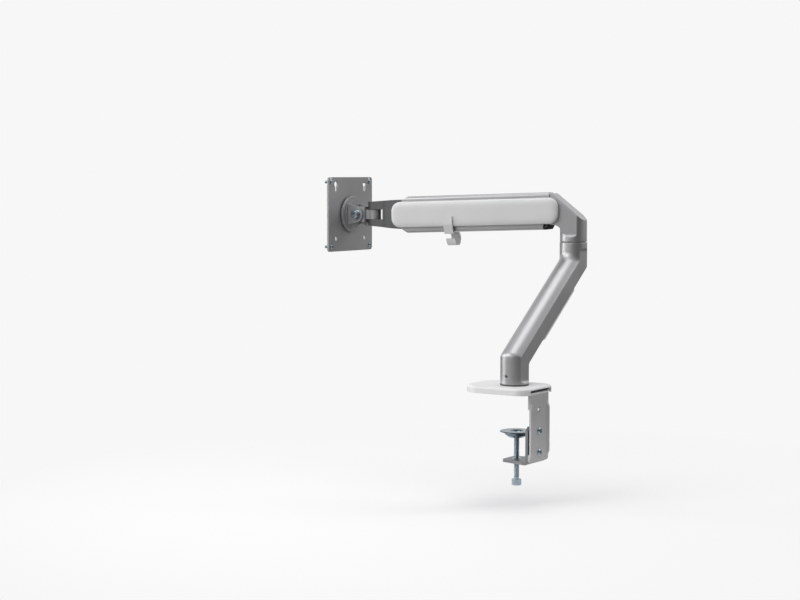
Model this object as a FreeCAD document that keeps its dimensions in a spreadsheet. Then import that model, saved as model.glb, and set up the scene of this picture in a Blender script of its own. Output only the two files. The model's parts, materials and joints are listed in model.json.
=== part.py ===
import FreeCAD, Part
import math
import os

import Sketcher
from FreeCAD import Placement, Rotation, Vector

# A desk-clamped monitor arm: clamp and base, lower arm, elbow, parallelogram upper arm with its lift
# spring, and a head that pans, tilts and turns. Millimetres, +Z up. The origin is where the swivel axis
# meets the desk top; the desk edge is parallel to X and the monitor looks towards -Y.

SIZES = {
    # base cover and what it hides
    "cover_half_width": 44, "cover_front": 66, "cover_rear": 44, "cover_top": 10, "cover_gap": 0.3,
    "cover_wall": 2.6, "cover_roof": 7.2, "front_round": 30, "rear_round": 20.5, "cover_edge": 3.5,
    "post_hole": 16, "pad_thick": 1, "pad_inset": 4.5, "notch_half": 28.2, "notch_top": 7,
    "notch_depth": 8.5, "plate_thick": 2.3, "plate_half": 36, "plate_front": 56, "plate_rear": 40.5,
    # clamp
    "bracket_half": 26, "bracket_thick": 3.2, "bracket_outer": 41, "bracket_low": 96.3,
    "bracket_flange": 32, "lip_out": 2.2, "lip_start": 19.5, "lip_full": 23.5, "lip_top": 13,
    "lip_top_full": 20.5, "lip_low_full": 84.5, "lip_low": 89.5, "bend_radius": 5, "corner_round": 4,
    "jaw_hole": 3.8, "hole_pitch": 30.4, "hole_first": 22.4, "jaw_thick": 4.2, "jaw_top": 45,
    "jaw_low": 99.6, "jaw_reach": 10, "jaw_tip_half": 16.5, "jaw_cut": 6, "screw_offset": 4,
    "screw_radius": 3.6, "screw_top": 59.5, "screw_end": 134, "screw_head": 6.9, "screw_head_tall": 9,
    "nut_radius": 6.2, "nut_proud": 0.5, "dish_radius": 24.3, "dish_foot": 14, "dish_rim": 1.6,
    "dish_tall": 9, "dish_top": 55.5, "dish_well": 1.2, "dish_well_radius": 8,
    # lower arm
    "arm_radius": 20.4, "arm_cheek": 17.7, "arm_foot": 11.8, "arm_bend_low": 46.5, "arm_bend_high": 178,
    "bend_low_outer": 10, "bend_high_outer": 4, "bend_inner": 16, "scoop": 4, "arm_top": 209.3,
    "arm_reach": 154.26, "foot_ring": 1.8, "top_ring": 9, "foot_bore": 16.45,
    "foot_bore_top": 44.6, "post_radius": 14, "post_top": 44, "post_groove": 12.4, "groove_low": 20,
    "groove_high": 27, "post_spigot": 8, "bush_radius": 16.4, "bush_inner": 14.06, "bush_flange": 20.8,
    "bush_top": 40.5, "grub_height": 23.5, "grub_radius": 2.5, "grub_tip": 12.9, "grub_face": 20,
    "strip_start": 62, "strip_end": 176, "strip_half": 8, "strip_face": 25.6, "strip_wall": 1.8,
    "strip_round": 7.6, "strip_edge": 1.4,
    # elbow
    "elbow_base": 210.3, "elbow_radius": 20, "elbow_ring_top": 217.2, "elbow_roof": 281.8,
    "elbow_soft": 2.5,
    "slant_front": 28.9, "slant_back": 11, "slant_low": 249.3, "elbow_front": 31.2, "nose_clear": 10.8,
    "throat_x": 26, "throat_height": 223, "throat_radius": 12, "washer_radius": 17.9, "washer_thick": 0.8,
    "pin_post_radius": 12, "pin_post_low": 185, "pin_post_top": 243, "elbow_bush_inner": 12.06,
    "elbow_bush_radius": 14.4, "elbow_bore_top": 245,
    # upper arm links
    "pivot_reach": 42, "top_pivot": 274.8, "pivot_drop": 38.5, "link_length": 218, "link_half": 17.8,
    "link_wall": 2.4, "link_outer": 8.5, "link_inner": 12, "link_round": 10, "shoulder": 5,
    "pin_radius": 4, "pin_half": 16.6, "pin_hole_half": 16.8, "pin_fit": 0.06, "press_fit": 0.02,
    "open_fit": 0.3,
    "tongue_half": 14.5, "tongue_boss": 5.8, "tongue_slot": 6, "anchor_drop": 13, "anchor_radius": 3,
    "bumper_bore": 6.3,
    # side covers
    "side_rear": 23, "side_front": 239.8, "side_top": 0.4, "side_height": 39, "side_inner": 18.2,
    "side_proud": 8.4, "side_round": 14, "side_edge": 4.6, "side_wall": 2.2, "post_size": 3.6,
    "post_drop": 5.5, "post_near": 30, "post_far": 165,
    # spring works
    "tie_half": 4, "tie_depth": 5.5, "carriage_start": 40, "carriage_thick": 6, "carriage_radius": 10,
    "nose_radius": 5.5, "nose_length": 24, "spring_end": 175, "spring_mean": 8.2, "spring_wire": 1.6,
    "seat_thick": 4, "block_start": 183, "block_thick": 7, "adjust_radius": 3, "adjust_head": 5,
    # wrist fork and head
    "wrist_reach": 316.6, "wrist_height": 248, "fork_half": 14.5, "tine_half": 10.6, "window_start": 16.4,
    "window_half": 7.65, "tip_top": 19.4, "tip_low": 16.9, "fork_rear_top": 3.9, "fork_rear_low": 41.6,
    "barrel_radius": 9.6, "barrel_half": 7.3, "tilt_reach": 23.6, "block_half": 12.7, "block_radius": 12,
    "block_rear": 11.2, "ear_inner": 13.1, "ear_thick": 3.6, "ear_radius": 12, "ear_back": 1.4,
    "ear_root": 16.5, "disc_radius": 28, "disc_start": 41.2, "disc_thick": 3.2, "disc_step": 1.6,
    "step_radius": 21.5, "bolt_radius": 4, "bolt_head": 6.4, "bolt_head_tall": 6.2, "vesa_face": 46.6,
    "vesa_thick": 3, "vesa_half": 57.5, "vesa_round": 5, "vesa_pitch": 50, "vesa_small": 37.5,
    "vesa_screw": 2, "vesa_neck": 2.4, "vesa_head": 3.2, "vesa_head_tall": 2, "vesa_screw_reach": 9,
    "slot_half": 2.3, "key_half": 2.7, "key_radius": 4.8, "key_high": 46.6, "key_low": 37.2,
    "rivet_radius": 5, "rivet_head": 9.5, "rivet_recess": 1.6,
    # cable clip
    "clip_middle": 148, "clip_half": 7.3, "clip_face": 26.9, "clip_thick": 2.1, "clip_turn": 10,
    "clip_far": 4, "clip_near": 2, "clip_curl": 12.5,
}

LOWER_YAW = 176.66
UPPER_YAW = -75.4
HEAD_YAW = -90.0
DROOP = 1.9
CLIP_CURL = 80

os.makedirs("parts", exist_ok=True)
doc = FreeCAD.newDocument("monitor_arm")
sheet = doc.addObject("Spreadsheet::Sheet", "dims")
for row, (name, number) in enumerate(SIZES.items(), start=1):
    sheet.set(f"A{row}", name)
    sheet.set(f"B{row}", str(number))
    sheet.setAlias(f"B{row}", name)
doc.recompute()


class Size:
    """A length: its number now, and the expression over the sheet that keeps it current."""

    def __init__(self, number, text):
        self.number = float(number)
        self.text = text

    def combine(self, other, sign, number):
        return Size(number, f"({self.text} {sign} {size(other).text})")

    def __add__(self, other):
        return self.combine(other, "+", self.number + size(other).number)

    def __sub__(self, other):
        return self.combine(other, "-", self.number - size(other).number)

    def __radd__(self, other):
        return size(other) + self

    def __rsub__(self, other):
        return size(other) - self

    def __mul__(self, other):
        return self.combine(other, "*", self.number * size(other).number)

    def __rmul__(self, other):
        return size(other) * self

    def __truediv__(self, other):
        return self.combine(other, "/", self.number / size(other).number)

    def __neg__(self):
        return Size(-self.number, f"(-1 * {self.text})")


def size(value):
    """A Size as it is, or a plain number as a constant Size."""
    return value if isinstance(value, Size) else Size(value, repr(float(value)))


class Sheet:
    """The sheet's cells by name, as d.cover_top."""

    def __getattr__(self, name):
        return Size(getattr(sheet, name), f"dims.{name}")


d = Sheet()


class Piece:
    """One PartDesign body: sketches on its own origin planes, then pads, cuts, turns and rounds."""

    def __init__(self, name, place=None):
        self.body = doc.addObject("PartDesign::Body", name)
        self.body.Label = name
        self.body.Placement = place or Placement()
        self.count = 0
        pieces[name] = self.body

    def add(self, kind, word):
        self.count += 1
        return self.body.newObject(kind, f"{self.body.Name}_{word}_{self.count}")

    def sketch(self, plane, lift):
        made = self.add("Sketcher::SketchObject", "sketch")
        planes = self.body.Origin.OriginFeatures
        made.AttachmentSupport = [(next(p for p in planes if p.Role == f"{plane}_Plane"), "")]
        made.MapMode = "FlatFace"
        made.setExpression("AttachmentOffset.Base.z", size(lift).text)
        return made

    def outline(self, plane, points, lift=0, closed=True):
        """An outline, or an open path. A point may carry a radius: then an arc leads from it to the
        next point, turning left (anticlockwise) for a positive radius and right for a negative one."""
        made = self.sketch(plane, lift)
        corners = [[size(v) for v in point] for point in points]
        ends = []
        for here, after in zip(corners, corners[1:] + corners[:closed]):
            first = Vector(here[0].number, here[1].number, 0)
            last = Vector(after[0].number, after[1].number, 0)
            if len(here) == 2:
                made.addGeometry(Part.LineSegment(first, last), False)
                ends.append((1, 2))
                continue
            radius = here[2].number
            chord = last - first
            depth = abs(radius) - math.sqrt(max(radius**2 - chord.Length**2 / 4, 0))
            left = Vector(-chord.y, chord.x, 0).normalize()
            crown = (first + last) / 2 - left * math.copysign(depth, radius)
            made.addGeometry(Part.Arc(first, crown, last), False)
            ends.append((1, 2) if radius > 0 else (2, 1))
        count = len(ends)
        for index in range(count if closed else count - 1):
            after = (index + 1) % count
            made.addConstraint(
                Sketcher.Constraint("Coincident", index, ends[index][1], after, ends[after][0])
            )
        for index, corner in enumerate(corners):
            edge, end = (index, ends[index][0]) if index < count else (index - 1, ends[-1][1])
            for way, value in (("DistanceX", corner[0]), ("DistanceY", corner[1])):
                at = made.addConstraint(Sketcher.Constraint(way, -1, 1, edge, end, value.number))
                made.setExpression(f"Constraints[{at}]", value.text)
            if len(corner) == 3:
                radius = corner[2] if corner[2].number > 0 else -corner[2]
                at = made.addConstraint(Sketcher.Constraint("Radius", index, radius.number))
                made.setExpression(f"Constraints[{at}]", radius.text)
        return made

    def circles(self, plane, centres, radius, lift=0):
        made = self.sketch(plane, lift)
        radius = size(radius)
        for index, centre in enumerate(centres):
            across, up = size(centre[0]), size(centre[1])
            middle = Vector(across.number, up.number, 0)
            made.addGeometry(Part.Circle(middle, Vector(0, 0, 1), radius.number), False)
            for way, value in (("DistanceX", across), ("DistanceY", up)):
                at = made.addConstraint(Sketcher.Constraint(way, -1, 1, index, 3, value.number))
                made.setExpression(f"Constraints[{at}]", value.text)
            at = made.addConstraint(Sketcher.Constraint("Radius", index, radius.number))
            made.setExpression(f"Constraints[{at}]", radius.text)
        return made

    def pad(self, sketch, length, both=False, back=False):
        made = self.add("PartDesign::Pad", "pad")
        made.Profile = sketch
        made.setExpression("Length", size(length).text)
        made.SideType = "Symmetric" if both else "One side"
        made.Reversed = back
        return self.settle(made)

    def cut(self, sketch, length=None, back=False, both=False):
        """A pocket: right through both ways, or a given depth against, with or about the sketch."""
        before = self.body.Shape.Volume
        made = self.add("PartDesign::Pocket", "cut")
        made.Profile = sketch
        if length is None:
            made.Type = "ThroughAll"
            made.SideType = "Symmetric"
        else:
            made.setExpression("Length", size(length).text)
            made.SideType = "Symmetric" if both else "One side"
            made.Reversed = back
        self.settle(made)
        if self.body.Shape.Volume > before - 1e-3:
            raise RuntimeError(f"{made.Name} cut nothing")
        return made

    def turn(self, points):
        """A solid of revolution about Z from an outline of (radius, height) points."""
        sketch = self.outline("XZ", points)
        made = self.add("PartDesign::Revolution", "turn")
        made.Profile = sketch
        made.ReferenceAxis = (sketch, ["V_Axis"])
        made.Angle = 360
        return self.settle(made)

    def soften(self, radius, wanted, kind="Fillet"):
        """Rounds (or bevels) the edges that wanted(edge) picks from the body as it stands."""
        base = self.body.Tip
        names = [f"Edge{i}" for i, edge in enumerate(base.Shape.Edges, start=1) if wanted(edge)]
        if not names:
            raise RuntimeError(f"{self.body.Name}: no edge to soften")
        made = self.add(f"PartDesign::{kind}", kind.lower())
        made.Base = (base, names)
        made.setExpression("Radius" if kind == "Fillet" else "Size", size(radius).text)
        return self.settle(made)

    def settle(self, made):
        doc.recompute()
        if "Up-to-date" not in made.State or not self.body.Shape.isValid():
            raise RuntimeError(f"{made.Name} failed: {made.State}")
        return made


def along(edge, axis, tolerance=1e-6):
    """Whether an edge is straight and runs along an axis."""
    if edge.Curve.TypeId != "Part::GeomLine":
        return False
    return abs(abs(edge.Curve.Direction.dot(axis)) - 1) < tolerance


def near(edge, **places):
    """Whether an edge's middle is at the given x, y or z."""
    middle = edge.CenterOfMass
    return all(abs(getattr(middle, axis) - size(v).number) < 0.05 for axis, v in places.items())


def within(edge, low, high, axis="z"):
    """Whether the whole edge lies between two heights (or places along another axis)."""
    box = edge.BoundBox
    least, most = getattr(box, f"{axis.upper()}Min"), getattr(box, f"{axis.upper()}Max")
    return least > size(low).number - 0.01 and most < size(high).number + 0.01


def rounded(left, low, right, high, low_radius, high_radius):
    """A rectangle with rounded corners, anticlockwise."""
    a, b = low_radius, high_radius
    return [
        (left + a, low), (right - a, low, a), (right, low + a), (right, high - b, b),
        (right - b, high), (left + b, high, b), (left, high - b), (left, low + a, a),
    ]


def hexagon(radius, x=0, y=0):
    """A hexagon's corners, by the radius of the circle through them."""
    return [
        (x + radius * math.cos(math.radians(60 * k)), y + radius * math.sin(math.radians(60 * k)))
        for k in range(6)
    ]


def at(x, y, z, axis=(0, 0, 1), angle=0):
    """A placement from lengths and a turn."""
    spot = Vector(*[size(v).number for v in (x, y, z)])
    return Placement(spot, Rotation(Vector(*axis), angle))


def point_along(direction, frame, x, y, z):
    """A placement in a frame whose Z axis points along a direction of that frame."""
    turned = Rotation(Vector(0, 0, 1), Vector(*direction))
    return frame * Placement(Vector(*[size(v).number for v in (x, y, z)]), turned)


def ring(name, place, inner, outer, low, high):
    """A washer or bush about Z."""
    piece = Piece(name, place)
    piece.turn([(inner, low), (outer, low), (outer, high), (inner, high)])
    return piece


def rod(name, place, radius, low, high, bevel=0.5):
    """A plain pin about Z with bevelled ends."""
    piece = Piece(name, place)
    piece.turn([
        (0, low), (radius - bevel, low), (radius, low + bevel),
        (radius, high - bevel), (radius - bevel, high), (0, high),
    ])
    return piece


def screw(name, place, radius, reach, head, tall, socket, dome=0.6, neck=()):
    """A cap or pan screw: head above Z 0, shank below, and a hexagon socket in the head. A neck is
    the outline's points where a wider part under the head replaces the end of the shank."""
    piece = Piece(name, place)
    piece.turn([
        (0, -reach), (radius - 0.4, -reach), (radius, 0.4 - reach), *(neck or [(radius, 0)]),
        (head, 0), (head, tall - dome), (head - dome, tall), (0, tall),
    ])
    piece.cut(piece.outline("XY", hexagon(socket), lift=tall), tall * 0.6)
    return piece


def gather(name, members):
    """Puts several bodies that are identical fasteners under one name."""
    made = doc.addObject("Part::Compound", name)
    made.Label = name
    made.Links = [pieces.pop(member.body.Name) for member in members]
    pieces[name] = made


X, Y, Z = Vector(1, 0, 0), Vector(0, 1, 0), Vector(0, 0, 1)
pieces = {}
WORLD = Placement()
LOWER = Placement(Vector(), Rotation(Z, LOWER_YAW))
elbow_spot = LOWER.multVec(Vector(d.arm_reach.number, 0, 0))
UPPER = Placement(elbow_spot, Rotation(Z, UPPER_YAW))
TOP = UPPER * at(d.pivot_reach, 0, d.top_pivot, (0, 1, 0), DROOP)
BOTTOM = UPPER * at(d.pivot_reach, 0, d.top_pivot - d.pivot_drop, (0, 1, 0), DROOP)
FORK = Placement(TOP.multVec(Vector(d.link_length.number, 0, 0)), UPPER.Rotation)
wrist_spot = UPPER.multVec(Vector(d.wrist_reach.number, 0, d.wrist_height.number))
HEAD = Placement(wrist_spot, Rotation(Z, HEAD_YAW))


def base():
    """The white cover, the pad, the steel plate and the swivel post, about the origin."""
    cover = Piece("base_cover")
    outside = rounded(-d.cover_half_width, -d.cover_front, d.cover_half_width, d.cover_rear,
                      d.front_round, d.rear_round)
    cover.pad(cover.outline("XY", outside, d.cover_gap), d.cover_top - d.cover_gap)
    cover.soften(d.cover_edge, lambda e: within(e, d.cover_top, d.cover_top))
    wall = d.cover_wall
    inside = rounded(wall - d.cover_half_width, wall - d.cover_front, d.cover_half_width - wall,
                     d.cover_rear - wall, d.front_round - wall, d.rear_round - wall)
    cover.cut(cover.outline("XY", inside, d.cover_roof), 20)
    cover.cut(cover.circles("XY", [(0, 0)], d.post_hole))
    notch = [(-d.notch_half, d.cover_rear - d.notch_depth), (d.notch_half, d.cover_rear - d.notch_depth),
             (d.notch_half, d.cover_rear + 5), (-d.notch_half, d.cover_rear + 5)]
    cover.cut(cover.outline("XY", notch, d.notch_top), 20)

    pad = Piece("desk_pad")
    inset = d.pad_inset
    pad.pad(pad.outline("XY", rounded(
        inset - d.cover_half_width, inset - d.cover_front, d.cover_half_width - inset,
        d.cover_rear - d.notch_depth - 2, d.front_round - inset, d.rear_round - inset - 5,
    )), d.pad_thick)

    plate = Piece("base_plate")
    low = d.pad_thick + d.bracket_thick
    plate.pad(plate.outline("XY", rounded(-d.plate_half, -d.plate_front, d.plate_half, d.plate_rear,
                                          24, 12), low), d.plate_thick)
    plate.cut(plate.circles("XY", [(0, 0)], d.post_spigot + d.press_fit))
    plate.cut(plate.circles("XY", [(-18, -20), (18, -20), (-18, 20), (18, 20)], 2.6))

    post = Piece("base_post")
    foot = low + d.plate_thick
    post.turn([
        (0, d.pad_thick), (d.post_spigot, d.pad_thick), (d.post_spigot, foot), (d.post_radius, foot),
        (d.post_radius, d.groove_low), (d.post_groove, d.groove_low), (d.post_groove, d.groove_high),
        (d.post_radius, d.groove_high), (d.post_radius, d.post_top - 1.5),
        (d.post_radius - 1.5, d.post_top), (0, d.post_top),
    ])
    gather("plate_rivets", [
        rod(f"plate_rivet_{k}", at(x, y, 0), 2.5, d.pad_thick + 0.2, foot)
        for k, (x, y) in enumerate(((-18, -20), (18, -20), (-18, 20), (18, 20)), start=1)
    ])


def bracket():
    """The clamp bracket: a bent strip whose upright edges are pressed outward as stiffening lips."""
    outer, thick, half = d.bracket_outer, d.bracket_thick, d.bracket_half
    inner, top, under = outer - thick, d.pad_thick + thick, d.pad_thick
    strip = Piece("clamp_bracket")
    strip.pad(strip.outline("YZ", [
        (-d.bracket_flange, under), (inner, under), (inner, -d.bracket_low), (outer, -d.bracket_low),
        (outer, top), (-d.bracket_flange, top),
    ]), half * 2, both=True)
    strip.soften(d.bend_radius, lambda e: along(e, X) and near(e, y=outer, z=top))
    strip.soften(d.bend_radius - thick, lambda e: along(e, X) and near(e, y=inner, z=under))
    strip.soften(d.corner_round, lambda e: along(e, Y) and within(e, -d.bracket_low, -d.bracket_low))
    for side in (1, -1):
        lip = strip.outline("YZ", [
            (outer - 1, -d.lip_top), (outer, -d.lip_top), (outer + d.lip_out, -d.lip_top_full),
            (outer + d.lip_out, -d.lip_low_full), (outer, -d.lip_low), (outer - 1, -d.lip_low),
        ], side * d.lip_start)
        strip.pad(lip, half - d.lip_start, back=side < 0)
        strip.cut(strip.outline("XY", [
            (side * d.lip_start, outer), (side * d.lip_full, outer + d.lip_out),
            (side * d.lip_full, outer + 10), (side * d.lip_start, outer + 10),
        ]))
        strip.cut(strip.outline("XY", [
            (side * (d.lip_start + 2), inner), (side * half, inner + d.lip_out),
            (side * (half + 1), inner + d.lip_out), (side * (half + 1), inner - 1),
            (side * (d.lip_start + 2), inner - 1),
        ], -d.lip_top_full), d.lip_low_full - d.lip_top_full)
    holes = [(0, -d.hole_first - d.hole_pitch * k) for k in range(3)]
    strip.cut(strip.circles("XZ", holes, d.jaw_hole, lift=-30), 60)
    strip.cut(strip.circles("XY", [(0, 0)], d.post_spigot + d.press_fit))
    strip.cut(strip.circles("XY", [(-18, -20), (18, -20), (-18, 20), (18, 20)], 2.6))


def clamp():
    """The L-shaped jaw with its two screws, and the clamp screw with its dish."""
    jaw = Piece("clamp_jaw")
    face, thick, half = d.bracket_outer - d.bracket_thick, d.jaw_thick, d.bracket_half
    jaw.pad(jaw.outline("YZ", [
        (-d.jaw_reach, -d.jaw_low), (face, -d.jaw_low), (face, -d.jaw_top), (face - thick, -d.jaw_top),
        (face - thick, thick - d.jaw_low), (-d.jaw_reach, thick - d.jaw_low),
    ]), half * 2, both=True)
    jaw.soften(thick + 1.4, lambda e: along(e, X) and near(e, y=face, z=-d.jaw_low))
    jaw.soften(1.4, lambda e: along(e, X) and near(e, y=face - thick, z=thick - d.jaw_low))
    jaw.soften(d.jaw_cut, lambda e: along(e, Y) and within(e, -d.jaw_top, -d.jaw_top), "Chamfer")
    for side in (1, -1):
        jaw.cut(jaw.outline("XY", [
            (side * (half + 1), face - thick * 2), (side * (half + 1), -d.jaw_reach - 1),
            (side * d.jaw_tip_half, -d.jaw_reach - 1), (side * half, face - thick * 2),
        ]))
    jaw.soften(4, lambda e: along(e, Z) and near(e, y=-d.jaw_reach))
    heights = [-d.hole_first - d.hole_pitch * k for k in (1, 2)]
    jaw.cut(jaw.circles("XZ", [(0, height) for height in heights], 2.95, lift=-30), 60)
    jaw.cut(jaw.circles("XY", [(0, d.screw_offset)], d.nut_radius + d.press_fit))
    gather("jaw_screws", [
        screw(f"jaw_screw_{k}", point_along((0, 1, 0), WORLD, 0, d.bracket_outer, height),
              2.9, 8.6, 5, 2.8, 2.2, dome=1.4)
        for k, height in enumerate(heights, start=1)
    ])
    ring("clamp_nut", at(0, d.screw_offset, 0), d.screw_radius + d.pin_fit, d.nut_radius,
         -d.jaw_low - d.nut_proud, d.jaw_thick - d.jaw_low + 0.1)

    spindle = Piece("clamp_screw", at(0, d.screw_offset, 0))
    radius, end, head = d.screw_radius, -d.screw_end, d.screw_head
    spindle.turn([
        (0, end + 2), (radius, end + 2), (radius, -d.screw_top - 3), (radius - 1.5, -d.screw_top - 3),
        (radius - 1.5, 1.3 - d.screw_top), (0, 1.3 - d.screw_top),
    ])
    spindle.pad(spindle.outline("XY", hexagon(head.number), end), d.screw_head_tall)
    spindle.cut(spindle.outline("XY", hexagon(3.4), lift=end), 6, back=True)

    dish = Piece("pressure_dish", at(0, d.screw_offset, 0))
    brim, under = -d.dish_top, -d.dish_top - d.dish_rim
    stem = radius - 1.5 + 0.1
    dish.turn([
        (stem, -d.screw_top), (stem, -d.screw_top - 2.7), (radius + 0.2, -d.screw_top - 2.9),
        (radius + 0.2, brim - d.dish_tall), (d.dish_foot - 2.5, brim - d.dish_tall),
        (d.dish_foot + 2, brim - d.dish_tall + 3), (d.dish_foot + 4.5, under - 1),
        (d.dish_radius - 0.8, under), (d.dish_radius, under + 0.8), (d.dish_radius - 0.8, brim),
        (d.dish_well_radius + 2, brim), (d.dish_well_radius, brim - d.dish_well), (6, brim - d.dish_well),
        (5, -d.screw_top),
    ])
    ring("dish_clip", at(0, d.screw_offset, 0), radius - 1.4, 4.4, 0.1 - d.screw_top, 1 - d.screw_top)


def lower_arm():
    """The cranked round casting that stands on the post, its bushes, set screw and cable cover."""
    arm = Piece("lower_arm", LOWER)
    rise = d.arm_bend_high.number - d.arm_bend_low.number
    incline = math.atan2(rise, d.arm_reach.number)
    turn = math.pi / 2 - incline
    section = arm.circles("XY", [(0, 0)], d.arm_radius, d.arm_foot)
    spine = arm.outline("XZ", [
        (0, d.arm_foot), (0, d.arm_bend_low), (d.arm_reach, d.arm_bend_high), (d.arm_reach, d.arm_top),
    ], closed=False)
    tube = arm.add("PartDesign::AdditivePipe", "tube")
    tube.Profile = section
    tube.Spine = (spine, [f"Edge{k}" for k in range(1, 4)])
    tube.Transition = "Right corner"
    arm.settle(tube)
    low, high = d.arm_foot + d.foot_ring, d.arm_top - d.top_ring
    cheek, scoop = d.arm_cheek, d.scoop
    for side in (1, -1):
        arm.cut(arm.outline("YZ", [
            (side * cheek, low + scoop, side * scoop), (side * (cheek + scoop), low), (side * 40, low),
            (side * 40, high), (side * (cheek + scoop), high, side * scoop), (side * cheek, high - scoop),
        ]))
    across = Vector(math.sin(turn / 2), 0, math.cos(turn / 2))

    def on_mitre(edge, x, z, way):
        middle = Vector(size(x).number, 0, size(z).number)
        spots = [spot.Point for spot in edge.Vertexes] + [edge.CenterOfMass]
        return (all(abs((spot - middle).dot(across)) < 0.05 for spot in spots)
                and (edge.CenterOfMass - middle).x * way > 0)

    for x, z, way, radius in (
        (0, d.arm_bend_low, -1, d.bend_low_outer), (0, d.arm_bend_low, 1, d.bend_inner),
        (d.arm_reach, d.arm_bend_high, 1, d.bend_high_outer),
        (d.arm_reach, d.arm_bend_high, -1, d.bend_inner),
    ):
        arm.soften(radius, lambda e: on_mitre(e, x, z, way))
    arm.cut(arm.circles("XY", [(0, 0)], d.foot_bore, d.foot_bore_top), 60)
    arm.cut(arm.circles("XY", [(d.arm_reach, 0)], d.pin_post_radius + d.press_fit, d.pin_post_low), 60,
            back=True)
    arm.cut(arm.circles("YZ", [(0, d.grub_height)], d.grub_radius + d.press_fit), 60)

    bush = ring("foot_bush", LOWER, d.bush_inner, d.bush_radius, d.cover_top + 0.2, d.bush_top)
    bush.pad(bush.circles("XY", [(0, 0)], d.bush_flange, d.cover_top + 0.2), 1.6)
    bush.cut(bush.circles("XY", [(0, 0)], d.bush_inner))
    bush.cut(bush.circles("YZ", [(0, d.grub_height)], d.grub_radius + d.press_fit), 60)
    grub = rod("set_screw", point_along((-1, 0, 0), LOWER, 0, 0, d.grub_height), d.grub_radius,
               d.grub_tip, d.grub_face)
    grub.cut(grub.outline("XY", hexagon(1.4), d.grub_face), 3)

    rod("elbow_post", LOWER * at(d.arm_reach, 0, 0), d.pin_post_radius, d.pin_post_low, d.pin_post_top, 1)
    ring("elbow_washer", LOWER * at(d.arm_reach, 0, 0), d.pin_post_radius + 0.1, d.washer_radius,
         d.arm_top, d.arm_top + d.washer_thick)

    under = LOWER * at(0, 0, d.arm_bend_low, (0, 1, 0), -math.degrees(incline))
    strip = Piece("lower_cable_cover", under)
    face = -d.strip_face
    strip.pad(strip.outline("XY", rounded(d.strip_start, -d.strip_half, d.strip_end, d.strip_half,
                                          d.strip_round, d.strip_round), face),
              d.strip_face - d.arm_radius + 1.8)
    strip.cut(strip.circles("YZ", [(0, 0)], d.arm_radius + 0.02))
    groove = d.strip_half - d.strip_wall
    strip.cut(strip.outline("YZ", [(-groove, face + d.strip_wall), (groove, face + d.strip_wall),
                                   (groove, 0), (-groove, 0)]))
    strip.soften(d.strip_edge, lambda e: within(e, face, face))


def elbow():
    """The casting that turns on the elbow post and carries both links on pins."""
    knuckle = Piece("elbow_knuckle", UPPER)
    base_z, roof = d.elbow_base, d.elbow_roof
    cheek, ledge, scoop = d.arm_cheek, d.elbow_ring_top, d.scoop
    knuckle.pad(knuckle.circles("XY", [(0, 0)], d.elbow_radius, base_z), roof - base_z)
    rise = (roof - d.slant_low) / (d.slant_front + d.slant_back)
    knuckle.cut(knuckle.outline("XZ", [
        (-28, d.slant_low - rise * (28 - d.slant_back)), (d.slant_front, roof), (34, roof),
        (34, roof + 20), (-28, roof + 20),
    ]))
    for side in (1, -1):
        knuckle.cut(knuckle.outline("YZ", [
            (side * cheek, ledge + scoop, side * scoop), (side * (cheek + scoop), ledge),
            (side * 40, ledge), (side * 40, roof + 20), (side * cheek, roof + 20),
        ]))
    slant_at_axis = d.slant_low + rise * d.slant_back
    reach, top, low = d.pivot_reach, d.top_pivot, d.top_pivot - d.pivot_drop
    front, clear = d.elbow_front, d.nose_clear
    nose = reach - math.sqrt(clear.number**2 - (roof - top).number**2)
    throat_x, throat_z, throat = d.throat_x, d.throat_height, d.throat_radius
    knuckle.pad(knuckle.outline("XZ", [
        (0, throat_z), (throat_x - throat, throat_z, -throat), (throat_x, throat_z + throat),
        (front, throat_z + throat + 0.4), (front, top, -clear), (nose, roof), (d.slant_front, roof),
        (0, slant_at_axis),
    ]), d.arm_cheek * 2, both=True)

    def on_top(spot):
        level = min(roof.number, d.slant_low.number + rise.number * (spot.X + d.slant_back.number))
        return abs(spot.Z - level) < 0.05 and spot.X < nose.number - 0.05

    knuckle.soften(d.elbow_soft, lambda e: all(on_top(spot) for spot in e.Vertexes))
    knuckle.pad(knuckle.outline("XZ", [
        (20, low + 8), (reach - 5, low + 8), (reach - 5, low + 3.5), (reach + 5.5, low + 3.5),
        (reach + 5.5, top - 3.5), (reach - 5, top - 3.5), (reach - 5, top - 7), (20, top - 7),
    ]), d.tongue_half * 2, both=True)
    for height in (top, low):
        knuckle.pad(knuckle.circles("XZ", [(reach, height)], d.tongue_boss), d.tongue_half * 2, both=True)
    slot = d.tongue_slot
    knuckle.cut(knuckle.outline("XY", [(25, -slot), (54, -slot), (54, slot), (25, slot)], top - 2),
                d.pivot_drop - 12.4)
    knuckle.cut(knuckle.circles("XZ", [(reach, top), (reach, low)], d.pin_radius + d.press_fit))
    knuckle.cut(knuckle.circles("XZ", [(reach, top - d.anchor_drop)], d.anchor_radius + d.press_fit))
    knuckle.cut(knuckle.circles("XY", [(0, 0)], d.elbow_bush_radius + 0.04, d.elbow_bore_top), 90)

    ring("elbow_bush", UPPER, d.elbow_bush_inner, d.elbow_bush_radius, base_z, d.pin_post_top)
    gather("elbow_pins", [
        rod(f"elbow_pin_{k}", point_along((0, 1, 0), UPPER, reach, 0, height), d.pin_radius,
            -d.pin_half, d.pin_half)
        for k, height in enumerate((top, low), start=1)
    ])
    rod("spring_anchor_pin", point_along((0, 1, 0), UPPER, reach, 0, top - d.anchor_drop),
        d.anchor_radius, -d.tongue_half, d.tongue_half)


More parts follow.
